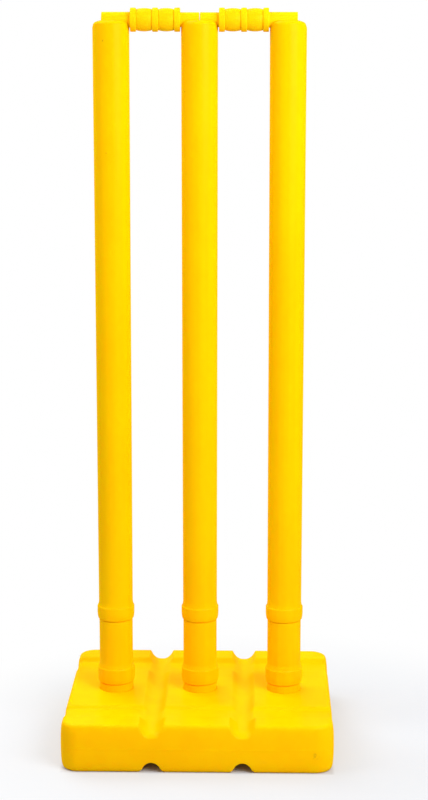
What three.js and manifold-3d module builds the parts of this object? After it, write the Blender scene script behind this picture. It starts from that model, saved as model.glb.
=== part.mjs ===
// A set of cricket stumps in moulded plastic: a hollow base with three sockets,
// three round stumps that stand in them and two bails that bridge the stump tops.
// Millimetres, +Z up. The stumps stand in a row along X, and the base rests on z = 0.

import * as THREE from 'three';
import { mergeVertices } from 'three/addons/utils/BufferGeometryUtils.js';
import Module from 'manifold-3d';

const wasm = await Module();
wasm.setup();

// Fits
const seatGap = 0.3;
const wall = 3;

// Base block
const baseWidth = 283;
const baseDepth = 256;
const baseHeight = 50.5;
const baseCornerRadius = 20;
const baseEdgeRadius = 6;
const baseBulge = 3.5;
const baseWaist = 4;

// Field of the base: the lower middle band that the stumps stand in
const fieldDrop = 2;
const fieldHalfDepth = 58.5;
const valleyFall = 6;
const valleyFlat = 25.5;
const valleyRise = 8;
const valleyDepth = 5;

// Grooves over the base and tunnels under it, front to back
const grooveOffset = 46.8;
const grooveHalf = 12.9;
const grooveReach = 16.5;
const groovePower = 2.2;
const grooveEndPower = 3.6;
const grooveDepth = 9.2;
const grooveFall = 6.5;
const grooveFallLength = 9;
const tunnelHalf = 10;
const tunnelHeight = 11;
const tunnelFlare = 3;

// Sockets and the vent under the base
const socketFloor = 5;
const ventRadius = 4;
const ventOffset = 70;

// Stumps
const stumpSpacing = 90.5;
const stumpHeight = 711;
const stumpTopRadius = 18.85;
const stumpFootRadius = 18.05;
const capHeight = 4.6;
const shellThickness = 3.2;

// Collars
const neckRadius = 17.9;
const collarRadius = 19.85;
const upperCollarBottom = 127.2;
const upperCollarBand = 14;
const lowerCollarBottom = 57;
const lowerCollarBand = 15.8;
const collarSlope = 5.4;
const collarBevel = 0.8;

// Foot
const plugLength = 36;
const plugWall = 2.6;
const footBore = 13;
const footLead = 2;

// Bails
const ringRadius = 12.2;
const ringWidth = 5.8;
const ringEdge = 0.5;
const notchRadius = 9.9;
const notchWidth = 1.2;
const bulgeRadius = 11.7;
const bulgeFall = 0.9;
const longSpigotRadius = 7.9;
const longSpigotReach = 9.4;
const shortSpigotRadius = 7.5;
const shortSpigotGap = 0.4;
const spigotEdge = 0.5;
const barrelGap = 1;

// Steps round curves
const turnSteps = 28;
const bailSteps = 24;
const socketSteps = 28;
const capSteps = 6;
const cornerSteps = 5;
const edgeSteps = 4;
const valleySteps = 4;
const grooveSteps = 6;
const fallSteps = 4;
const archSteps = 6;
const bulgeSteps = 3;

const fieldHeight = baseHeight - fieldDrop;
const stumpTop = fieldHeight + stumpHeight;

// Step from 0 to 1 that starts and ends level
function eased(share) {
  return share * share * (3 - 2 * share);
}

// Closed three.js geometry as a solid
function solidOf(geometry) {
  geometry.deleteAttribute('normal');
  geometry.deleteAttribute('uv');
  const merged = mergeVertices(geometry, 1e-4);
  const mesh = new wasm.Mesh({
    numProp: 3,
    vertProperties: new Float32Array(merged.attributes.position.array),
    triVerts: new Uint32Array(merged.index.array),
  });
  mesh.merge();
  return new wasm.Manifold(mesh);
}

// Solid back to three.js geometry
function geometryOf(solid) {
  const mesh = solid.getMesh();
  const geometry = new THREE.BufferGeometry();
  geometry.setAttribute('position', new THREE.BufferAttribute(new Float32Array(mesh.vertProperties), 3));
  geometry.setIndex(new THREE.BufferAttribute(new Uint32Array(mesh.triVerts), 1));
  geometry.computeVertexNormals();
  return geometry;
}

function cut(solid, tools) {
  return tools.reduce((rest, tool) => rest.subtract(tool), solid);
}

// Solid turned about Z from a profile of [radius, height] points, upwards on the outside
function turned(profile, steps) {
  const geometry = new THREE.LatheGeometry(profile.map(([r, z]) => new THREE.Vector2(r, z)), steps);
  geometry.rotateX(Math.PI / 2);
  return solidOf(geometry);
}

function shapeOf(points) {
  return new THREE.Shape(points.map(([u, v]) => new THREE.Vector2(u, v)));
}

// Outline of [x, z] points run through the base from front to back
function runFrontToBack(points, length) {
  const geometry = new THREE.ExtrudeGeometry(shapeOf(points), { depth: length, bevelEnabled: false });
  geometry.rotateX(Math.PI / 2);
  geometry.translate(0, length / 2, 0);
  return solidOf(geometry);
}

// Outline of [y, z] points run through the base from left to right
function runLeftToRight(points, length) {
  const geometry = new THREE.ExtrudeGeometry(shapeOf(points), { depth: length, bevelEnabled: false });
  geometry.rotateX(Math.PI / 2);
  geometry.rotateZ(Math.PI / 2);
  geometry.translate(-length / 2, 0, 0);
  return solidOf(geometry);
}

function upright(radius, low, high, x, y) {
  const geometry = new THREE.CylinderGeometry(radius, radius, high - low, socketSteps);
  geometry.rotateX(Math.PI / 2);
  geometry.translate(x, y, (low + high) / 2);
  return solidOf(geometry);
}

function roundedRectangle(width, depth, radius) {
  const shape = new THREE.Shape();
  const x = width / 2;
  const y = depth / 2;
  shape.moveTo(-x + radius, -y);
  shape.lineTo(x - radius, -y);
  shape.absarc(x - radius, -y + radius, radius, -Math.PI / 2, 0);
  shape.lineTo(x, y - radius);
  shape.absarc(x - radius, y - radius, radius, 0, Math.PI / 2);
  shape.lineTo(-x + radius, y);
  shape.absarc(-x + radius, y - radius, radius, Math.PI / 2, Math.PI);
  shape.lineTo(-x, -y + radius);
  shape.absarc(-x + radius, -y + radius, radius, Math.PI, Math.PI * 1.5);
  return shape;
}

// Block between two heights, its edges rolled in by an inset over a roll height
function rolledBlock(width, depth, radius, low, high, inset, roll) {
  const geometry = new THREE.ExtrudeGeometry(roundedRectangle(width, depth, radius), {
    depth: high - low - 2 * roll,
    bevelEnabled: true,
    bevelThickness: roll,
    bevelSize: inset,
    bevelOffset: -inset,
    bevelSegments: edgeSteps,
    curveSegments: cornerSteps,
  });
  geometry.translate(0, 0, low + roll);
  return solidOf(geometry);
}

// Outer form of the base, shrunk all round by an allowance
function baseForm(allowance) {
  const width = baseWidth - 2 * allowance;
  const depth = baseDepth - 2 * allowance;
  const radius = baseCornerRadius - allowance;
  const low = allowance;
  const high = baseHeight - allowance;
  const edge = baseEdgeRadius - allowance / 2;
  const bulged = rolledBlock(width, depth, radius, low, high, baseBulge, (high - low - baseWaist) / 2);
  const edged = rolledBlock(width, depth, radius, low, high, edge, edge);
  return bulged.intersect(edged);
}

// Space above the field, which eases down to a flat valley along its front and its back
function fieldSpace(allowance) {
  const floor = fieldHeight - allowance;
  const crest = baseHeight - allowance;
  const bottom = crest - valleyDepth;
  const valleyEnd = fieldHalfDepth + valleyFall + valleyFlat;
  const fall = [];
  const rise = [];
  for (let i = 0; i <= valleySteps; i += 1) {
    const share = i / valleySteps;
    fall.push([fieldHalfDepth + valleyFall * share, floor + (bottom - floor) * eased(share)]);
    rise.push([valleyEnd + valleyRise * share, bottom + (crest - bottom) * eased(share)]);
  }
  const half = [...fall, ...rise];
  const roof = baseHeight + valleyDepth;
  const rim = half.at(-1);
  const points = [[rim[0], roof], ...half.toReversed(), ...half.map(([y, z]) => [-y, z]), [-rim[0], roof]];
  return runLeftToRight(points.toReversed(), baseWidth + valleyRise);
}

// Space from a surface, whose height is given over a grid of x and y lines, up to a roof
function spaceAbove(xs, ys, heightOf, roof) {
  const points = [];
  for (const level of [heightOf, () => roof]) {
    for (const y of ys) {
      for (const x of xs) {
        points.push(x, y, level(x, y));
      }
    }
  }
  const at = (layer, j, i) => (layer * ys.length + j) * xs.length + i;
  const faces = [];
  const quad = (a, b, c, d) => faces.push(a, b, c, a, c, d);
  for (let j = 0; j < ys.length - 1; j += 1) {
    for (let i = 0; i < xs.length - 1; i += 1) {
      quad(at(0, j, i), at(0, j + 1, i), at(0, j + 1, i + 1), at(0, j, i + 1));
      quad(at(1, j, i), at(1, j, i + 1), at(1, j + 1, i + 1), at(1, j + 1, i));
    }
  }
  const lastX = xs.length - 1;
  const lastY = ys.length - 1;
  for (let i = 0; i < lastX; i += 1) {
    quad(at(0, 0, i), at(0, 0, i + 1), at(1, 0, i + 1), at(1, 0, i));
    quad(at(0, lastY, i + 1), at(0, lastY, i), at(1, lastY, i), at(1, lastY, i + 1));
  }
  for (let j = 0; j < lastY; j += 1) {
    quad(at(0, j + 1, 0), at(0, j, 0), at(1, j, 0), at(1, j + 1, 0));
    quad(at(0, j, lastX), at(0, j + 1, lastX), at(1, j + 1, lastX), at(1, j, lastX));
  }
  const geometry = new THREE.BufferGeometry();
  geometry.setAttribute('position', new THREE.BufferAttribute(new Float32Array(points), 3));
  geometry.setIndex(faces);
  return solidOf(geometry);
}

// Groove over the base, a bowl in section, which falls away at the front and back faces
function grooveSpace(side, allowance) {
  const xs = [];
  for (let i = -grooveSteps; i <= grooveSteps; i += 1) {
    xs.push(grooveReach * i / grooveSteps + Math.sign(i) * allowance);
  }

  const end = baseDepth / 2 + allowance;
  const rear = [];
  for (let i = 0; i <= fallSteps; i += 1) {
    rear.push(end - grooveFallLength * (1 - Math.sin(Math.PI / 2 * i / fallSteps)));
  }
  rear.push(end + grooveFallLength);
  const ys = [...rear.toReversed().map((y) => -y), ...rear];

  const heightOf = (x, y) => {
    const past = Math.min(Math.max((Math.abs(y) - end) / grooveFallLength + 1, 0), 1);
    const depth = grooveDepth + grooveFall * (1 - Math.sqrt(1 - past * past));
    const power = groovePower + (grooveEndPower - groovePower) * past;
    const away = Math.max(Math.abs(x) - allowance, 0);
    return baseHeight - allowance - depth * (1 - (away / grooveHalf) ** power);
  };
  return spaceAbove(xs, ys, heightOf, baseHeight + 3 * grooveDepth).translate(side * grooveOffset, 0, 0);
}

// Tunnel under the base with flared lips
function tunnelSpace(side, allowance) {
  const half = tunnelHalf + allowance;
  const height = tunnelHeight + allowance;
  const points = [[half + 2 * tunnelFlare, -tunnelFlare], [half + tunnelFlare, 0]];
  for (let i = 1; i <= 2 * archSteps - 1; i += 1) {
    const turn = Math.PI * i / (2 * archSteps);
    points.push([half * Math.cos(turn), height * Math.sin(turn)]);
  }
  points.push([-half - tunnelFlare, 0], [-half - 2 * tunnelFlare, -tunnelFlare]);
  return runFrontToBack(points, baseDepth + wall).translate(side * grooveOffset, 0, 0);
}

function socketSpace(place, allowance) {
  const low = socketFloor - allowance;
  return upright(neckRadius + seatGap + allowance, low, baseHeight + wall, place * stumpSpacing, 0);
}

function baseBlock() {
  const sides = [-1, 1];
  const places = [-1, 0, 1];
  const spaces = (allowance) => [
    fieldSpace(allowance),
    ...sides.map((side) => grooveSpace(side, allowance)),
    ...sides.map((side) => tunnelSpace(side, allowance)),
    ...places.map((place) => socketSpace(place, allowance)),
  ];
  const hollow = cut(baseForm(wall), spaces(wall));
  const vent = upright(ventRadius, -wall, 2 * wall, 0, ventOffset);
  return cut(baseForm(0), [...spaces(0), hollow, vent]);
}

// Outer radius of a stump's barrel at a height, a slight taper from the top down
function stumpRadius(height) {
  const share = (height - fieldHeight) / (stumpTop - capHeight - fieldHeight);
  return stumpFootRadius + (stumpTopRadius - stumpFootRadius) * Math.min(share, 1);
}

// Collar outline, upwards: it steps out of the neck, swells to a band, and is bevelled and hollow above it
function collar(bottom, band, aboveRadius) {
  const swell = collarRadius - neckRadius;
  const top = bottom + band;
  return [
    [neckRadius, bottom],
    [neckRadius + 0.55 * swell, bottom + 0.03 * band],
    [neckRadius + 0.9 * swell, bottom + 0.28 * band],
    [collarRadius, bottom + 0.5 * band],
    [collarRadius, top],
    [neckRadius + 0.56 * swell, top + collarBevel],
    [neckRadius + 0.3 * swell, top + 0.55 * collarSlope],
    [aboveRadius, top + collarSlope],
  ];
}

function stumpBarrel(grooveRadius) {
  const collarTop = upperCollarBottom + upperCollarBand + collarSlope;
  const outside = collar(upperCollarBottom, upperCollarBand, stumpRadius(collarTop));
  const inside = [];
  for (let i = 0; i <= capSteps; i += 1) {
    const turn = Math.PI / 2 * i / capSteps;
    outside.push([stumpTopRadius * Math.sqrt(Math.cos(turn)), stumpTop - capHeight * (1 - Math.sin(turn))]);
  }
  const bore = neckRadius - shellThickness;
  const roof = stumpTop - longSpigotRadius - seatGap - shellThickness;
  inside.push([0, roof], [bore - capHeight / 2, roof]);
  inside.push([bore, roof - capHeight / 2], [bore, upperCollarBottom]);
  const blank = turned([...outside, ...inside, outside[0]], turnSteps);
  const geometry = new THREE.CylinderGeometry(grooveRadius, grooveRadius, 3 * stumpTopRadius, socketSteps);
  geometry.rotateZ(Math.PI / 2);
  geometry.translate(0, 0, stumpTop);
  return cut(blank, [solidOf(geometry)]);
}

function stumpFoot() {
  const bottom = socketFloor + seatGap;
  const shoulder = upperCollarBottom - seatGap;
  const plug = neckRadius - shellThickness - seatGap;
  const lowerTop = lowerCollarBottom + lowerCollarBand + collarSlope;
  const plugTop = upperCollarBottom + plugLength;
  const outside = [
    [0, bottom],
    [neckRadius - footLead, bottom],
    [neckRadius, bottom + footLead],
    ...collar(lowerCollarBottom, lowerCollarBand, neckRadius),
    [neckRadius, shoulder],
    [plug, shoulder],
    [plug, plugTop - footLead],
    [plug - footLead / 2, plugTop],
  ];
  const inside = [
    [plug - plugWall, plugTop],
    [plug - plugWall, lowerTop],
    [footBore, lowerCollarBottom],
    [footBore, bottom + shellThickness],
    [0, bottom + shellThickness],
  ];
  return turned([...outside, ...inside], turnSteps);
}

// Turned bail along X from its long spigot's end at 0
function bailProfile() {
  const near = stumpTopRadius + barrelGap;
  const start = longSpigotReach + near;
  const length = stumpSpacing - 2 * near;
  const points = [
    [0, 0],
    [longSpigotRadius - spigotEdge, 0],
    [longSpigotRadius, spigotEdge],
    [longSpigotRadius, start],
  ];
  const pitch = (length - ringWidth) / 2;
  for (let ring = 0; ring < 3; ring += 1) {
    const low = start + ring * pitch;
    const high = low + ringWidth;
    points.push(
      [ringRadius - ringEdge, low],
      [ringRadius, low + ringEdge],
      [ringRadius, high - ringEdge],
      [ringRadius - ringEdge, high],
    );
    if (ring < 2) {
      const bulge = pitch - ringWidth - 2 * notchWidth;
      points.push([notchRadius, high + notchWidth / 2]);
      for (let i = 0; i <= 2 * bulgeSteps; i += 1) {
        const along = i / (2 * bulgeSteps);
        points.push([bulgeRadius - bulgeFall * (2 * along - 1) ** 2, high + notchWidth + bulge * along]);
      }
      points.push([notchRadius, low + pitch - notchWidth / 2]);
    }
  }
  const end = start + length;
  const tip = end + near - shortSpigotGap;
  points.push(
    [shortSpigotRadius, end],
    [shortSpigotRadius, tip - spigotEdge],
    [shortSpigotRadius - spigotEdge, tip],
    [0, tip],
  );
  return points;
}

const plastic = { color: 0xf7d400, roughness: 0.42, metalness: 0 };
const group = new THREE.Group();

function addPiece(name, solid, parent) {
  const mesh = new THREE.Mesh(geometryOf(solid), new THREE.MeshStandardMaterial(plastic));
  mesh.name = name;
  parent.add(mesh);
  return mesh;
}

addPiece('base_block', baseBlock(), group);

const sides = { left: -1, middle: 0, right: 1 };
for (const [side, place] of Object.entries(sides)) {
  const stump = new THREE.Group();
  stump.position.x = place * stumpSpacing;
  group.add(stump);
  const spigot = place === 0 ? shortSpigotRadius : longSpigotRadius;
  addPiece(`${side}_stump_foot`, stumpFoot(), stump);
  addPiece(`${side}_stump_barrel`, stumpBarrel(spigot + seatGap), stump);
}

for (const side of ['left', 'right']) {
  const bail = addPiece(`${side}_bail`, turned(bailProfile(), bailSteps), group);
  bail.position.set(sides[side] * (stumpSpacing + longSpigotReach), 0, stumpTop);
  bail.rotation.y = -sides[side] * Math.PI / 2;
}

export default group;
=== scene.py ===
# %% [markdown]
# # Cricket stumps in moulded plastic
# The set is one colour all through: a hollow base, three stumps that stand in it and two bails
# that lie across the stump tops. Such sets are made in moulds, so nothing on them is quite sharp,
# and every piece here is a smooth skin that is worked out with numpy and then given a satin
# yellow plastic. The CAD frame gives the places and the outer sizes.

import bmesh
import bpy
import numpy as np
from mathutils import Matrix, Vector


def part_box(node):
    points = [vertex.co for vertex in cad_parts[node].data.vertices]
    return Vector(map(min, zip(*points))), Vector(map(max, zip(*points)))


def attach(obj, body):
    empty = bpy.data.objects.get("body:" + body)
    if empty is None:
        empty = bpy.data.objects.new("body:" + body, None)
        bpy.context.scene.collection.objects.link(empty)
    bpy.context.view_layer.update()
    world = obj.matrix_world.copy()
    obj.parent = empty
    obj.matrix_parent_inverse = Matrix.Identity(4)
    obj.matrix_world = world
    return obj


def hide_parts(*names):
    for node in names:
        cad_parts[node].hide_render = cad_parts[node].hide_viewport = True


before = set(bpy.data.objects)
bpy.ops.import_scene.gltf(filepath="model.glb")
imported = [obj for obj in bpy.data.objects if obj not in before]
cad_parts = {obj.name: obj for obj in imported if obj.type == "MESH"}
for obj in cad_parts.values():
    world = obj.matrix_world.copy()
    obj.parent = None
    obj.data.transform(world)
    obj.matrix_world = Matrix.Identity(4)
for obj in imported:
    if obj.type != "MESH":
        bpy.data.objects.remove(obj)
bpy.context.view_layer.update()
millimetre = 0.001
print("CAD nodes", sorted(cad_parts))

# %% [markdown]
# ## From sheets of points to a skin
# A sheet is a table of points, rows by columns, and each four neighbours in it make a face.
# Several sheets that share their edges close up into one skin once their doubles are welded.
# Points that a sheet leaves out, as where a hole goes, are not numbers, and faces that would
# touch them are dropped. All sizes below are in millimetres until the skin is made.

# %% The skin helper
weld_distance = 0.002


def skin(name, sheets):
    """One closed piece from sheets of points: neighbours make faces, shared edges are welded."""
    faces = []
    first = 0
    for sheet in sheets:
        rows, columns = sheet.shape[:2]
        index = first + np.arange(rows * columns).reshape(rows, columns)
        around = [index[:-1, :-1], index[:-1, 1:], index[1:, 1:], index[1:, :-1]]
        faces.append(np.stack(around, -1).reshape(-1, 4))
        first += rows * columns
    points = np.concatenate([sheet.reshape(-1, 3) for sheet in sheets])
    faces = np.concatenate(faces)
    faces = faces[~np.isnan(points[faces]).any(axis=(1, 2))]
    used, faces = np.unique(faces, return_inverse=True)
    mesh = bpy.data.meshes.new(name)
    mesh.from_pydata((points[used] * millimetre).tolist(), [], faces.reshape(-1, 4).tolist())
    shell = bmesh.new()
    shell.from_mesh(mesh)
    bmesh.ops.remove_doubles(shell, verts=shell.verts, dist=weld_distance * millimetre)
    bmesh.ops.recalc_face_normals(shell, faces=shell.faces)
    if shell.calc_volume(signed=True) < 0:
        bmesh.ops.reverse_faces(shell, faces=shell.faces)
    gaps = sum(not edge.is_manifold for edge in shell.edges)
    print(name, len(shell.faces), "faces,", gaps, "open edges")
    shell.to_mesh(mesh)
    shell.free()
    mesh.shade_smooth()
    piece = bpy.data.objects.new(name, mesh)
    bpy.context.scene.collection.objects.link(piece)
    return piece


# %% [markdown]
# ## Soft corners
# A moulded part has a small radius on every corner. The outlines below are written with plain
# corners, and each corner is then replaced by a short curve. Two more points, just before and
# just after the curve, keep the straight parts flat where the shading is smooth.

# %% Soft steps, soft meetings and soft corners
hold = 0.35
corner_steps = 6
corner_room = 0.42


def eased(share):
    """A step from 0 to 1 that starts and ends level: three shares squared less two cubed."""
    share = np.clip(share, 0, 1)
    return share * share * (3 - 2 * share)


def lower_of(one, other, blend):
    """The lower of two heights, rounded where they cross by a parabola as wide as the blend."""
    overlap = np.clip(blend - np.abs(one - other), 0, None) / blend
    return np.minimum(one, other) - overlap * overlap * blend / 4


def higher_of(one, other, blend):
    """The higher of two heights, rounded where they cross."""
    return -lower_of(-one, -other, blend)


def softened(corners, reach):
    """The outline with each inner corner made a parabola, from reach before it to reach after."""
    corners = np.asarray(corners, float)
    middle = corners[1:-1]
    back = corners[:-2] - middle
    ahead = corners[2:] - middle
    back_length = np.linalg.norm(back, axis=1, keepdims=True)
    ahead_length = np.linalg.norm(ahead, axis=1, keepdims=True)
    room = corner_room * np.minimum(back_length, ahead_length)
    reach = np.minimum(np.broadcast_to(reach, len(middle))[:, None], room)
    before = middle + back / back_length * reach
    after = middle + ahead / ahead_length * reach
    share = np.linspace(0, 1, corner_steps + 1)[:, None, None]
    curve = (1 - share) ** 2 * before + 2 * share * (1 - share) * middle + share**2 * after
    spare = np.minimum(hold, room / 4)
    held_before = before + back / back_length * spare
    held_after = after + ahead / ahead_length * spare
    rows = np.concatenate([held_before[None], curve, held_after[None]])
    return np.vstack([corners[:1], rows.transpose(1, 0, 2).reshape(-1, 2), corners[-1:]])


# %% [markdown]
# ## The base
# The real base is a hollow block with a flat underside. It is seen from above, so its soft
# edges, the two grooves that run over it from front to back and the two valleys that cross them
# carry most of the likeness. One way would be to cut them out of a block, which leaves hard
# edges. Here the block is a rounded outline that carries one section all round it, and the
# grooves and valleys are soft dips in the height of every point, so all edges melt together as
# they do in a mould.

# %% Sizes of the base
base_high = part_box("base_block")[1]
half_width = base_high.x / millimetre
half_depth = base_high.y / millimetre
base_height = base_high.z / millimetre
sides = {"left": -1, "right": 1}
places = ("left", "middle", "right")
stump_x = {}
for side in places:
    low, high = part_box(side + "_stump_barrel")
    stump_x[side] = (low.x + high.x) / 2 / millimetre
corner_radius = 20
edge_radius = 6
wall_bulge = 3.5
waist = 4
parting_ridge = 0.15
field_drop = 2
field_half = 58.5
valley_fall = 6
valley_flat = 25.5
valley_rise = 8
valley_depth = 5
groove_x = 46.8
groove_half = 12.9
groove_power = 2.2
groove_end_power = 3.6
groove_depth = 9.2
groove_fall = 6.5
groove_fall_length = 9
groove_blend = 3.5
least_blend = 1.5
blend_growth = 0.4
sink_start = 0.55
sink_span = 0.33
tunnel_half = 10
tunnel_height = 11
tunnel_flare = 3
tunnel_blend = 1.2
flare_start = 0.9
print("base half sizes", round(half_width, 2), round(half_depth, 2))
print("base height", round(base_height, 2))


# %% Heights over and under the base
valley_end = field_half + valley_fall + valley_flat


def crest(y):
    """Height of the top along the depth: a low field, a flat valley, then the full height."""
    away = np.abs(y)
    down = (valley_depth - field_drop) * eased((away - field_half) / valley_fall)
    up = valley_depth * eased((away - valley_end) / valley_rise)
    return base_height - field_drop - down + up


def groove_height(x, y):
    """Height of a groove: its floor, raised by a power of the way from its middle.

    Over its last few millimetres the floor falls away by a quarter ellipse.
    """
    past = np.clip((np.abs(y) - half_depth + groove_fall_length) / groove_fall_length, 0, 1)
    depth = groove_depth + groove_fall * (1 - np.sqrt(1 - past * past))
    power = groove_power + (groove_end_power - groove_power) * past
    away = np.abs(np.abs(x) - groove_x)
    return base_height - depth * (1 - (away / groove_half) ** power)


def dipped(points):
    """Points of the top or wall lowered into the valleys, and then into the soft lipped grooves."""
    x, y, z = np.moveaxis(points, -1, 0)
    share = (z - sink_start * base_height) / (sink_span * base_height)
    z = z - (base_height - crest(y)) * eased(share)
    blend = np.clip(least_blend + blend_growth * (base_height - z), least_blend, groove_blend)
    return np.stack([x, y, lower_of(z, groove_height(x, y), blend)], -1)


def arched(points):
    """Points of the underside or wall raised to the tunnels, half ellipses with flared feet."""
    x, y, z = np.moveaxis(points, -1, 0)
    away = np.abs(np.abs(x) - groove_x)
    arch = tunnel_height * np.sqrt(np.clip(1 - (away / tunnel_half) ** 2, 0, None))
    arch = arch - np.clip(away - tunnel_half, 0, None)
    flare = tunnel_flare * (tunnel_half + tunnel_flare - away) / tunnel_flare
    flare = np.minimum(flare, flare_start * tunnel_flare)
    flare = np.where(away < flare_start * tunnel_half, 0, flare)
    tunnel = higher_of(arch, flare, tunnel_blend)
    return np.stack([x, y, higher_of(z, tunnel, tunnel_blend)], -1)


# %% [markdown]
# ### Lines of the base
# The middle of the top and of the underside is a plain grid. Its lines lie close together in
# the grooves and valleys and far apart elsewhere. Round each socket they are spread so that
# rays from the socket's centre meet them at equal angles, which lets a round hole join a
# square gap in the grid.

# %% Grid lines and the section of the wall
socket_square = 24
socket_rays = 18
groove_span = 1.45
groove_spacing = 0.8
valley_spacing = 1.1
wide_spacing = 3
rim_spacing = 2.5
spread = socket_square * np.tan(np.linspace(-np.pi / 4, np.pi / 4, socket_rays + 1))
inner_x = half_width - corner_radius
inner_y = half_depth - corner_radius


def lines_between(low, high, spacing):
    """Even lines from low to high, about as far apart as the spacing."""
    return np.linspace(low, high, max(int(round((high - low) / spacing)), 1) + 1)


def merged(parts):
    """Sorted lines without repeats."""
    together = np.sort(np.concatenate(parts))
    return together[np.append(True, np.diff(together) > weld_distance)]


groove_edge = groove_x + groove_span * groove_half
groove_start = groove_x - groove_span * groove_half
half_lines_x = merged([
    np.array([0, inner_x]),
    spread[spread > 0],
    lines_between(socket_square, groove_start, wide_spacing),
    lines_between(groove_start, groove_edge, groove_spacing),
    lines_between(groove_edge, stump_x["right"] - socket_square, wide_spacing),
    stump_x["right"] + spread,
    lines_between(stump_x["right"] + socket_square, inner_x, rim_spacing),
])
half_lines_y = merged([
    np.array([0]),
    spread[spread > 0],
    lines_between(socket_square, field_half, wide_spacing),
    lines_between(field_half, valley_end + valley_rise, valley_spacing),
    lines_between(valley_end + valley_rise, inner_y, rim_spacing),
])
lines_x = merged([-half_lines_x, half_lines_x])
lines_y = merged([-half_lines_y, half_lines_y])
print("grid lines", len(lines_x), "by", len(lines_y))

# %% Section of the wall
flat_spacing = 1.3
wall_spacing = 1.5
roll_steps = 10
wall_blend = 1.5
ridge_width = 0.4
ridge_heights = (0, 0.25, 0.5, 0.8, 1.2)
ridge_clear = 2


def wall_section():
    """Inset and height from the flat top, over the rolled edge, down to the parting line."""
    middle = base_height / 2
    flat = lines_between(edge_radius, corner_radius, flat_spacing)[::-1]
    roll = np.linspace(np.pi / 2, 0, roll_steps + 1)
    rolled_z = base_height - edge_radius * (1 - np.sin(roll))
    parting = middle + np.array(ridge_heights)
    plain = lines_between(middle + ridge_clear, rolled_z[-1], wall_spacing)
    wall_z = np.concatenate([parting, plain])[::-1]
    z = np.concatenate([np.full(len(flat), base_height), rolled_z[1:], wall_z[1:]])
    rise = np.clip((np.abs(z - middle) - waist / 2) / (middle - waist / 2), 0, 1)
    bulge = wall_bulge * (1 - np.sqrt(1 - rise * rise))
    upright = np.zeros(len(wall_z) - 1)
    roll_in = np.concatenate([flat, edge_radius * (1 - np.cos(roll[1:])), upright])
    ridge = parting_ridge * np.exp(-((z - middle) / ridge_width) ** 2)
    return higher_of(bulge, roll_in, wall_blend) - ridge, z


# %% Outline and wall of the base
corner_rays = 10


def ring_path():
    """Points once round the inner rectangle, and outward directions, which fan at corners."""
    fan = np.linspace(0, np.pi / 2, corner_rays + 1)[1:-1]
    path = []
    outward = []
    for turn in range(4):
        line, across = ((lines_x, inner_y), (lines_y, inner_x))[turn % 2]
        angle = turn * np.pi / 2
        along = np.array([np.cos(angle), np.sin(angle)])
        out = np.array([np.sin(angle), -np.cos(angle)])
        edge = line[:, None] * along + across * out
        path.append(edge)
        outward.append(np.tile(out, (len(line), 1)))
        path.append(np.tile(edge[-1], (len(fan), 1)))
        outward.append(np.cos(fan)[:, None] * out + np.sin(fan)[:, None] * along)
    path = np.concatenate(path + [path[0][:1]])
    outward = np.concatenate(outward + [outward[0][:1]])
    return path, outward


def wall_sheet(inset, z):
    """The section carried round: each path point is moved outwards by the radius less the inset."""
    path, outward = ring_path()
    flat = path[None] + (corner_radius - inset)[:, None, None] * outward[None]
    height = np.broadcast_to(z[:, None, None], flat.shape[:2] + (1,))
    return np.concatenate([flat, height], -1)


# %% [markdown]
# ### Sockets and vent
# Each stump stands in a round socket, which is seen once the stump is lifted. A hollow moulding
# also needs a small vent, and it is under the base. Both are made in one way: rings of points go
# from the square gap in the grid to a circle, over a small lip and down to a closed end.

# %% Round holes in the grid
socket_radius = 18.05
socket_floor = 5
socket_lip = 0.6
vent_radius = 4
vent_depth = 3
vent_lip = 0.5
vent_y = 70
vent_half_gap = (9, 8)
skirt_rings = 5
lip_steps = 4
lip_hold = 1.4
well_start = 2
well_rings = 6


def square_gap(x_low, x_high, y_low, y_high):
    """Slices of the grid lines that bound a gap."""
    tiny = 0.01
    i = np.searchsorted(lines_x, [x_low - tiny, x_high + tiny])
    j = np.searchsorted(lines_y, [y_low - tiny, y_high + tiny])
    return slice(i[0], i[1]), slice(j[0], j[1])


def hole_sheet(gap, centre, radius, lip, opening, end):
    """Rings from a gap's border to a circle, then over a lip, down the hole and over its end."""
    x = lines_x[gap[0]]
    y = lines_y[gap[1]]
    border = np.concatenate([
        np.stack([x[:-1], np.full(len(x) - 1, y[0])], -1),
        np.stack([np.full(len(y) - 1, x[-1]), y[:-1]], -1),
        np.stack([x[:0:-1], np.full(len(x) - 1, y[-1])], -1),
        np.stack([np.full(len(y) - 1, x[0]), y[:0:-1]], -1),
    ])
    border = np.vstack([border, border[:1]])
    offset = border - centre
    ray = offset / np.linalg.norm(offset, axis=1, keepdims=True)
    share = np.linspace(0, 1, skirt_rings + 1)[:, None, None]
    spread_out = centre + (1 - share) * offset + share * ray * (radius + lip)
    skirt = np.concatenate([spread_out, np.full(spread_out.shape[:2] + (1,), opening)], -1)
    into = np.sign(end - opening)
    turn = np.linspace(0, np.pi / 2, lip_steps + 1)[1:]
    deep = [(radius + lip * (1 - np.sin(t)), opening + into * lip * (1 - np.cos(t))) for t in turn]
    deep.append((radius, opening + into * lip * lip_hold))
    straight = np.linspace(opening + into * lip * well_start, end - into * lip, well_rings)
    deep += [(radius, z) for z in straight]
    deep += [(radius - lip * (1 - np.cos(t)), end - into * lip * (1 - np.sin(t))) for t in turn]
    deep += [(radius - 2 * lip, end), (radius / 2, end), (0, end)]
    deep = np.array(deep)
    flat = centre + deep[:, :1, None] * ray[None]
    well = np.concatenate([flat, np.broadcast_to(deep[:, 1:, None], flat.shape[:2] + (1,))], -1)
    return np.concatenate([skirt, well])


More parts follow.
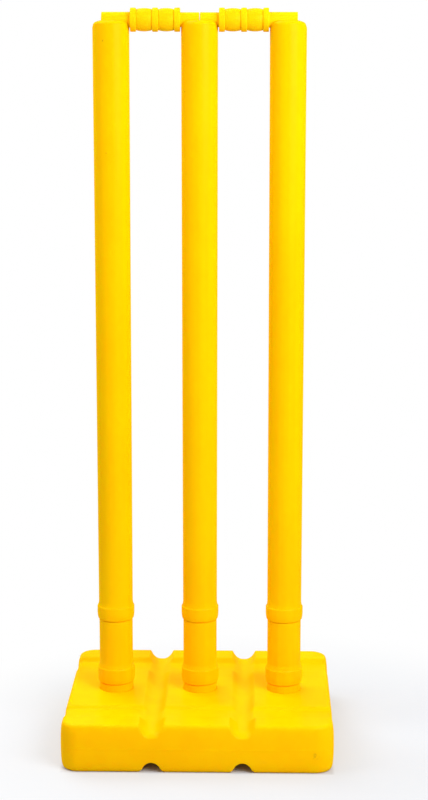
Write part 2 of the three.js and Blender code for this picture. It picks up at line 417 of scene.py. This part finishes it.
# %% Assemble the base
def plate_sheet(z, gaps):
    """The middle grid at one height, without the points inside its gaps."""
    x, y = np.meshgrid(lines_x, lines_y, indexing="ij")
    plate = np.stack([x, y, np.full_like(x, z)], -1)
    for across, along in gaps:
        plate[across.start + 1:across.stop - 1, along.start + 1:along.stop - 1] = np.nan
    return plate


def moulded_base():
    """The base from its top, wall and underside, with three sockets and a vent."""
    inset, z = wall_section()
    field = base_height - field_drop
    gaps = [
        square_gap(x - socket_square, x + socket_square, -socket_square, socket_square)
        for x in stump_x.values()
    ]
    sockets = [
        hole_sheet(gap, np.array([x, 0]), socket_radius, socket_lip, field, socket_floor)
        for gap, x in zip(gaps, stump_x.values())
    ]
    across, along = vent_half_gap
    vent_gap = square_gap(-across, across, vent_y - along, vent_y + along)
    vent = hole_sheet(vent_gap, np.array([0, vent_y]), vent_radius, vent_lip, 0, vent_depth)
    return skin("moulded_base", [
        dipped(plate_sheet(base_height, gaps)),
        dipped(wall_sheet(inset, z)),
        arched(wall_sheet(inset, base_height - z)),
        arched(plate_sheet(0, [vent_gap])),
        *sockets,
        vent,
    ])


base = moulded_base()

# %% [markdown]
# ## The stumps
# A stump is a tube with a slight taper, a flat top with a well rounded edge, and a groove across
# the top that holds the bails. Its foot is a second moulding that is pushed into the tube under
# the upper collar. Both are turned shapes: an outline of radius and height is carried round the
# upright line. The columns of points are drawn together along the groove's edges, because a
# groove that crosses the columns at random would have ragged edges.

# %% Outlines of the stump
stump_top = 759.5
field_height = base_height - field_drop
top_radius = 18.85
bottom_radius = 18.05
neck_radius = 17.9
collar_radius = 19.85
cap_height = 4.6
upper_collar = (127.2, 14)
lower_collar = (57, 15.8)
collar_slope = 5.4
collar_bevel = 0.8
swell_shares = ((0.55, 0.01), (0.90, 0.28))
band_middle = 0.5
bevel_share = 0.56
slope_shares = (0.30, 0.55)
line_depth = 0.8
line_low = 1.3
line_floor = (1.0, 0.2)
seat_gap = 0.3
tube_wall = 3.2
plug_length = 36
plug_wall = 2.6
foot_bore = 13
long_spigot = 7.9
short_spigot = 7.5


def tube_radius(z):
    """Outer radius of a tube at a height: it grows evenly from the field to the cap."""
    share = (z - field_height) / (stump_top - cap_height - field_height)
    return bottom_radius + (top_radius - bottom_radius) * share


def collar_corners(bottom, band, above):
    """Corners of a collar, upwards: a fine groove, a swell, a band, a bevel and a hollow slope."""
    swell = collar_radius - neck_radius
    top = bottom + band
    return [
        (neck_radius, bottom - line_low),
        (neck_radius - line_depth, bottom - line_floor[0]),
        (neck_radius - line_depth, bottom - line_floor[1]),
        *[(neck_radius + out * swell, bottom + up * band) for out, up in swell_shares],
        (collar_radius, bottom + band_middle * band),
        (collar_radius, top),
        (neck_radius + bevel_share * swell, top + collar_bevel),
        (neck_radius + slope_shares[0] * swell, top + slope_shares[1] * collar_slope),
        (above, top + collar_slope),
    ]


def turned(outline, angles):
    """Each radius and height carried round: x is the radius times the cosine, y times the sine."""
    radius = outline[:, :1]
    angles = np.broadcast_to(angles, (len(outline), np.shape(angles)[-1]))
    height = np.broadcast_to(outline[:, 1:], angles.shape)
    return np.stack([radius * np.cos(angles), radius * np.sin(angles), height], -1)


# %% Barrel with its cap and groove
cap_rows = 40
groove_reach = 10
groove_columns = 9
side_columns = 15
least_angle = np.radians(12)
most_angle = np.radians(78)
least_radius = 0.1
side_slope = 3
saddle_blend = 0.7
tube_spacing = 30
cap_spacing = 0.35
barrel_softness = 0.9


def saddle(y, radius):
    """Height of the bail groove over the stump: a half round trough with sloping sides above it."""
    half = np.abs(y)
    trough = stump_top - np.sqrt(np.clip(radius * radius - half * half, 0, None))
    return trough + side_slope * np.clip(half - radius, 0, None)


def column_angles(outline, radius):
    """Angles of the columns in each row, with the same number inside the groove in every row."""
    depth = np.minimum(stump_top - outline[:, 1], cap_height)
    edge = np.sqrt(np.clip(radius * radius - depth * depth, 0, None))
    edge = edge / np.maximum(outline[:, 0], least_radius)
    edge = np.arcsin(np.clip(edge, np.sin(least_angle), np.sin(most_angle)))[:, None]
    inside = edge * np.linspace(0, 1, groove_columns + 1)
    beside = edge + (np.pi / 2 - edge) * np.linspace(0, 1, side_columns + 1)[1:]
    quarter = np.concatenate([inside, beside], 1)
    half = np.concatenate([quarter, np.pi - quarter[:, -2::-1]], 1)
    return np.concatenate([half, half[:, 1:] + np.pi], 1)


def barrel_outline():
    """From the roof inside, down the bore, round the seam and up the outside to the cap.

    The cap's radius goes with the root of the cosine, which makes its top flat and its edge round.
    """
    bore = neck_radius - tube_wall
    roof = stump_top - long_spigot - seat_gap - tube_wall
    bottom, band = upper_collar
    collar_top = bottom + band + collar_slope
    turn = np.linspace(0, np.pi / 2, cap_rows + 1)
    cap_z = stump_top - cap_height * (1 - np.sin(turn))
    cap = np.stack([top_radius * np.sqrt(np.cos(turn)), cap_z], -1)
    cap[-1, 0] = 0
    near = stump_top - groove_reach
    straight = lines_between(collar_top, near, tube_spacing)[1:]
    near_cap = lines_between(near, stump_top - cap_height, cap_spacing)[1:, None]
    corners = [
        (0, roof), (bore, roof), (bore, bottom),
        *collar_corners(bottom, band, tube_radius(collar_top))[3:],
        *[(tube_radius(z), z) for z in straight],
    ]
    tube = softened(corners, barrel_softness)
    return np.vstack([tube, np.hstack([tube_radius(near_cap), near_cap]), cap[1:]])


def barrel(side):
    """The upper tube of a stump, its top lowered to the groove that its bail or bails lie in."""
    spigot = short_spigot if side == "middle" else long_spigot
    radius = spigot + seat_gap
    outline = barrel_outline()
    points = turned(outline, column_angles(outline, radius))
    points[..., 2] = lower_of(points[..., 2], saddle(points[..., 1], radius), saddle_blend)
    points[..., 0] += stump_x[side]
    return skin(side + "_barrel", [points])


barrels = {side: barrel(side) for side in places}

# %% [markdown]
# ## The feet
# The foot carries the lower collar, stands in the socket and reaches up inside the tube. The
# thin dark line under the upper collar is the seam between the two mouldings.

# %% Foot
foot_columns = 80
foot_lead = 2
foot_softness = 0.8


def foot(side):
    """The lower part of a stump: its end, up the outside, over the plug and down the bore."""
    bottom = socket_floor + seat_gap
    shoulder = upper_collar[0] - seat_gap
    plug = neck_radius - tube_wall - seat_gap
    plug_top = upper_collar[0] + plug_length
    low, band = lower_collar
    corners = [
        (0, bottom), (neck_radius - foot_lead, bottom), (neck_radius, bottom + foot_lead),
        *collar_corners(low, band, neck_radius),
        (neck_radius, shoulder - line_depth),
        (neck_radius - line_depth, shoulder - line_depth / 2),
        (neck_radius - line_depth, shoulder), (plug, shoulder), (plug, plug_top),
        (plug - plug_wall, plug_top), (plug - plug_wall, low + band + collar_slope),
        (foot_bore, low), (foot_bore, bottom + tube_wall), (0, bottom + tube_wall),
    ]
    points = turned(softened(corners, foot_softness), np.linspace(0, 2 * np.pi, foot_columns + 1))
    points[..., 0] += stump_x[side]
    return skin(side + "_foot", [points])


feet = {side: foot(side) for side in places}

# %% [markdown]
# ## The bails
# A bail is turned: a long round spigot that lies across an outer stump, three rings with two
# swelled lengths between them, and a short thinner spigot that shares the middle stump's
# groove with the other bail's. The outline runs along the row of stumps.

# %% Bail
bail_columns = 72
ring_radius = 12.2
ring_width = 5.8
swell_radius = 11.7
swell_fall = 0.9
notch_radius = 10.3
notch_width = 1.0
spigot_reach = 9.4
spigot_gap = 0.4
barrel_gap = 1
swell_points = 13
ring_crown = 0.15
notch_foot = 0.3
bail_softness = 0.7


def bail_outline():
    """Radius and distance from the outer stump's centre, from one spigot's end to the other's."""
    near = top_radius + barrel_gap
    span = abs(stump_x["left"]) - 2 * near
    pitch = (span - ring_width) / 2
    along = np.linspace(0, 1, swell_points)
    rim = ring_radius - ring_crown
    corners = [(0, -spigot_reach), (long_spigot, -spigot_reach), (long_spigot, near)]
    for ring in range(3):
        low = near + ring * pitch
        high = low + ring_width
        corners += [(rim, low), (ring_radius, low + ring_width / 2), (rim, high)]
        if ring < 2:
            swell = swell_radius - swell_fall * (2 * along - 1) ** 2
            length = pitch - ring_width - 2 * notch_width
            corners.append((notch_radius, high + notch_foot * notch_width))
            corners += list(zip(swell, high + notch_width + length * along))
            corners.append((notch_radius, low + pitch - notch_foot * notch_width))
    tip = near + span + near - spigot_gap
    corners += [(short_spigot, near + span), (short_spigot, tip), (0, tip)]
    return softened(corners, bail_softness)


def bail(side):
    """A bail that lies from the middle stump's groove over the given outer stump."""
    points = turned(bail_outline(), np.linspace(0, 2 * np.pi, bail_columns + 1))
    x = stump_x[side] - sides[side] * points[..., 2]
    laid = np.stack([x, points[..., 1], stump_top + points[..., 0]], -1)
    return skin(side + "_turned_bail", [laid])


bails = {side: bail(side) for side in sides}

# %% [markdown]
# ## Shader maths as plain arithmetic
# A material is a tree of nodes, and a pattern in it is arithmetic on places. The small class
# below wraps one output of a node, so that a sum is written as a sum and adds its own Math node.

# %% Signal and finish
class Signal:
    """One output of a node. Arithmetic on it adds a Math node."""

    def __init__(self, finish, socket):
        self.finish = finish
        self.socket = socket

    def joined(self, operation, first, second):
        return self.finish.node("Math", {"operation": operation}, {0: first, 1: second})

    def __add__(self, other):
        return self.joined("ADD", self, other)

    def __sub__(self, other):
        return self.joined("SUBTRACT", self, other)

    def __rsub__(self, other):
        return self.joined("SUBTRACT", other, self)

    def __mul__(self, other):
        return self.joined("MULTIPLY", self, other)

    __radd__ = __add__
    __rmul__ = __mul__


class Finish:
    """A material whose nodes are added one call at a time."""

    def __init__(self, name):
        self.material = bpy.data.materials.new(name)
        self.material.use_nodes = True
        self.tree = self.material.node_tree
        self.tree.nodes.clear()

    def node(self, kind, settings, inputs, output=0):
        """Adds a node, sets it up, gives its sockets values or links, and returns an output."""
        made = self.tree.nodes.new("ShaderNode" + kind)
        for key, value in settings.items():
            setattr(made, key, value)
        for key, value in inputs.items():
            if isinstance(value, Signal):
                self.tree.links.new(value.socket, made.inputs[key])
            else:
                made.inputs[key].default_value = value
        return Signal(self, made.outputs[output])

    def show(self, surface):
        output = self.tree.nodes.new("ShaderNodeOutputMaterial")
        self.tree.links.new(surface.socket, output.inputs["Surface"])

    def place(self, scale=(1, 1, 1)):
        where = self.node("TexCoord", {}, {}, "Object")
        return self.node("Mapping", {}, {"Vector": where, "Scale": scale}, "Vector")

    def noise(self, scale, detail=2, stretch=(1, 1, 1)):
        """Cloudy values round a half."""
        inputs = {"Vector": self.place(stretch), "Scale": scale, "Detail": detail}
        return self.node("TexNoise", {}, inputs, "Fac")

    def band(self, value, low, high):
        """An eased step from 0 at low to 1 at high."""
        limits = {"Value": value, "From Min": low, "From Max": high}
        return self.node("MapRange", {"interpolation_type": "SMOOTHSTEP"}, limits, "Result")

    def mixed(self, share, one, other):
        """Two colours mixed by a share."""
        return self.node("Mix", {"data_type": "RGBA"}, {0: share, 6: one, 7: other}, 2)

    def spot(self, centre, radius):
        """A soft round mask about a point of the object."""
        ends = {0: self.place(), 1: centre}
        away = self.node("VectorMath", {"operation": "DISTANCE"}, ends, "Value")
        return self.band(away, radius, 0)


# %% [markdown]
# ## Satin yellow plastic
# Moulded plastic is never one flat tone. The colour clouds a little where the melt cooled, the
# tubes carry faint lines along the way they were drawn, and the skin has a fine grain. Scuffed
# patches change the gloss, and low down the same patches carry a painted shade of deeper orange.
# A few dark specks sit in the surface. Light enters such plastic and comes out warmer, so a
# little of it is scattered under the surface. The bails are a little more lemon than the rest.
# Lengths in a material are in metres.

# %% The plastic
deep_yellow = (0.99, 0.50, 0.0, 1)
fresh_yellow = (0.99, 0.54, 0.0, 1)
bail_deep = (0.97, 0.56, 0.002, 1)
bail_fresh = (0.97, 0.60, 0.002, 1)
speck_brown = (0.45, 0.20, 0.01, 1)
low_shade_tone = (0.84, 0.42, 0.02, 1)
cloud_cells = 9
cloud_share = 0.55
line_share = 0.45
tone_span = (0.38, 0.62)
speck_cells = 60.0
speck_size = (0.055, 0.02)
patch_cells = 23
patch_span = (0.66, 0.70)
speck_share = 0.6
low_shade_height = 0.022
scuff_cells = 60
scuff_stretch = (1, 1, 2.2)
scuff_span = (0.56, 0.74)
low_shade_share = 0.35
mark_cells = 420
mark_span = (0.40, 0.62)
grain_cells = 1500
grain_depth = 0.00003
wave_cells = 46
wave_depth = 0.0001
line_relief = 0.00012
gloss_cells = 34
cloud_roughness = 0.14
scuff_roughness = 0.08
least_roughness = 0.30


def yellow_plastic(name, drawn, marks, deep=deep_yellow, fresh=fresh_yellow):
    """Satin yellow with clouds, grain, lines stretched as drawn says, and marks at given places."""
    finish = Finish(name)
    clouds = finish.noise(cloud_cells, 3)
    lines = finish.noise(1, 3, drawn)
    tone = finish.band(clouds * cloud_share + lines * line_share, *tone_span)
    colour = finish.mixed(tone, deep, fresh)
    speck_place = {"Vector": finish.place(), "Scale": speck_cells}
    near_speck = finish.node("TexVoronoi", {}, speck_place, "Distance")
    chance = finish.band(finish.noise(patch_cells, 1), *patch_span)
    specks = finish.band(near_speck, *speck_size) * chance
    colour = finish.mixed(specks * speck_share, colour, speck_brown)
    height = finish.node("SeparateXYZ", {}, {0: finish.place()}, "Z")
    # Painted shade: a deeper orange laid in patches over the lowest 22 mm of a piece, in the
    # tunnels and low on the wall.
    low = finish.band(height, low_shade_height, 0.0)
    scuffs = finish.band(finish.noise(scuff_cells, 6, scuff_stretch), *scuff_span)
    colour = finish.mixed(low * scuffs * low_shade_share, colour, low_shade_tone)
    for centre, radius, strength in marks:
        ragged = finish.band(finish.noise(mark_cells, 4), *mark_span)
        colour = finish.mixed(finish.spot(centre, radius) * ragged * strength, colour, speck_brown)
    grain = finish.noise(grain_cells)
    waves = finish.noise(wave_cells)
    relief = grain * grain_depth + waves * wave_depth + lines * line_relief
    bump = finish.node("Bump", {}, {"Strength": 0.5, "Distance": 1.0, "Height": relief}, "Normal")
    rough = finish.noise(gloss_cells, 4) * cloud_roughness + scuffs * scuff_roughness
    gloss = {
        "Base Color": colour,
        "Roughness": rough + least_roughness,
        "Normal": bump,
        "Specular IOR Level": 0.0,
        "Coat Weight": 0.06,
        "Coat Roughness": 0.3,
        "Coat IOR": 1.45,
        "Coat Tint": (1, 1, 1, 1),
        "Subsurface Weight": 0.3,
        "Subsurface Radius": (1.0, 0.15, 0.02),
        "Subsurface Scale": 0.008,
    }
    surface = finish.node("BsdfPrincipled", {}, gloss, "BSDF")
    finish.show(surface)
    return finish.material


base_scuff = ((0.122, -0.128, 0.020), 0.006, 0.5)
stump_speck = ((-0.0978, -0.0173, 0.739), 0.0022, 0.8)
base_plastic = yellow_plastic("base_plastic", (40, 40, 40), [base_scuff])
stump_plastic = yellow_plastic("stump_plastic", (150, 150, 2.2), [stump_speck])
bail_plastic = yellow_plastic("bail_plastic", (5, 150, 150), [], bail_deep, bail_fresh)
print("materials", [material.name for material in bpy.data.materials if "plastic" in material.name])

# %% [markdown]
# ## Dress the frame
# Each skin moves with the body that its CAD solid belongs to and stands for that solid, whose
# own mesh is hidden. It is given one of the plastics made above.

# %% Put the skins on the frame
def dress(piece, body, node, material):
    piece.data.materials.append(material)
    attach(piece, body)
    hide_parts(node)


dress(base, "base", "base_block", base_plastic)
for side in places:
    body = side + "_stump"
    dress(barrels[side], body, side + "_stump_barrel", stump_plastic)
    dress(feet[side], body, side + "_stump_foot", stump_plastic)
for side in sides:
    dress(bails[side], side + "_bail", side + "_bail", bail_plastic)

# %% [markdown]
# ## Floor, light and camera
# The set stands on a plain pale floor. A large soft lamp behind it to the left lights the top of
# the base and lays the faint shadows of the stumps to the right. A smaller one at the right
# front lights the stumps, so their left sides fall into a deeper yellow, and a weak one on the
# left opens those sides a little. The world is white to the camera. The floor goes over to plain
# white away from the set and keeps the set's soft shadow.

# %% Floor and world
floor_half = 6000
near_share = 0.42
fade_start = 0.18
fade_end = 0.42
footprint_x = (0.138, 0.143)
footprint_y = (0.124, 0.130)
matt_grey = (0.5, 0.5, 0.5, 1)
cool_grey = (0.59, 0.61, 0.65, 1)
shadow_middle = (0.07, -0.05, 0)
ambient_light = 0.52


def pale_floor():
    """Matt grey that goes over to plain white for the camera away from the set's shadow."""
    corners = np.array([[[-1, -1, 0], [1, -1, 0]], [[-1, 1, 0], [1, 1, 0]]]) * floor_half
    plane = skin("floor", [corners.astype(float)])
    finish = Finish("pale_floor")
    seen = finish.node("LightPath", {}, {}, "Is Camera Ray")
    tone = finish.mixed(seen, matt_grey, cool_grey)
    matt = finish.node("BsdfDiffuse", {}, {"Color": tone}, "BSDF")
    lit = finish.node("Emission", {}, {"Color": (1, 1, 1, 1), "Strength": 1.0}, "Emission")
    ends = {0: finish.place(), 1: shadow_middle}
    away = finish.node("VectorMath", {"operation": "DISTANCE"}, ends, "Value")
    under = finish.node("VectorMath", {"operation": "ABSOLUTE"}, {0: finish.place()}, 0)
    side = finish.node("SeparateXYZ", {}, {0: under}, "X")
    front = finish.node("SeparateXYZ", {}, {0: under}, "Y")
    beside = finish.band(side, *footprint_x)
    before = finish.band(front, *footprint_y)
    outside = beside + before - beside * before
    far = finish.band(away, fade_start, fade_end)
    share = seen * outside * (far * (1 - near_share) + near_share)
    surface = finish.node("MixShader", {}, {0: share, 1: matt, 2: lit}, 0)
    finish.show(surface)
    plane.data.materials.append(finish.material)


def pale_world(ambient):
    """White to the camera and in reflections, and a plain soft light everywhere else."""
    world = bpy.data.worlds.new("studio")
    world.use_nodes = True
    tree = world.node_tree
    tree.nodes.clear()
    path = tree.nodes.new("ShaderNodeLightPath")
    seen = tree.nodes.new("ShaderNodeMath")
    seen.operation = "MAXIMUM"
    tree.links.new(path.outputs["Is Camera Ray"], seen.inputs[0])
    tree.links.new(path.outputs["Is Glossy Ray"], seen.inputs[1])
    level = tree.nodes.new("ShaderNodeMapRange")
    level.inputs["To Min"].default_value = ambient
    level.inputs["To Max"].default_value = 1.0
    tree.links.new(seen.outputs[0], level.inputs["Value"])
    sky = tree.nodes.new("ShaderNodeBackground")
    tree.links.new(level.outputs[0], sky.inputs["Strength"])
    sky.inputs["Color"].default_value = (1, 1, 1, 1)
    output = tree.nodes.new("ShaderNodeOutputWorld")
    tree.links.new(sky.outputs[0], output.inputs["Surface"])
    bpy.context.scene.world = world


pale_floor()
pale_world(ambient_light)


# %% Lamps
def soft_lamp(name, place, aim, size, watts):
    """A square lamp at a place, turned towards its aim."""
    light = bpy.data.lights.new(name, "AREA")
    light.size = size
    light.energy = watts
    lamp = bpy.data.objects.new(name, light)
    bpy.context.scene.collection.objects.link(lamp)
    direction = Vector(aim) - Vector(place)
    lamp.rotation_mode = "QUATERNION"
    lamp.rotation_quaternion = direction.to_track_quat("-Z", "Y")
    lamp.location = place


soft_lamp("back_lamp", (-0.85, 1.0, 1.85), (0, 0, 0.2), 1.6, 29)
soft_lamp("side_lamp", (0.72, -0.85, 1.05), (0, 0, 0.6), 0.8, 17.5)
soft_lamp("left_lamp", (-1.0, -0.35, 1.2), (0, 0, 0.75), 0.6, 5)

# %% [markdown]
# ### The camera
# The photograph was taken from a little over two metres away, at the height of the stump tops,
# with the camera tipped down by about eleven degrees. The place, tilt and focal length were
# solved from the edges of the stumps, the collars and the outline of the base.

# %% Camera
eye = (0.0586, -2.0555, 0.7596)
tilt_down = 0.18922
turn_left = 0.02125
roll = 0.00059
focal_pixels = 1986.14
frame_pixels = 800
sensor = 36


def set_camera():
    """The camera at the solved place, turned by the solved angles."""
    data = bpy.data.cameras.new("camera")
    data.sensor_fit = "AUTO"
    data.sensor_width = sensor
    data.lens = focal_pixels * sensor / frame_pixels
    camera = bpy.data.objects.new("camera", data)
    bpy.context.scene.collection.objects.link(camera)
    level = Matrix.Rotation(np.pi / 2 - tilt_down, 4, "X")
    camera.matrix_world = (
        Matrix.Translation(eye)
        @ Matrix.Rotation(turn_left, 4, "Z")
        @ level
        @ Matrix.Rotation(roll, 4, "Z")
    )
    bpy.context.scene.camera = camera
    print("lens", round(data.lens, 2), "mm")


set_camera()
bpy.context.scene.view_settings.view_transform = "Standard"
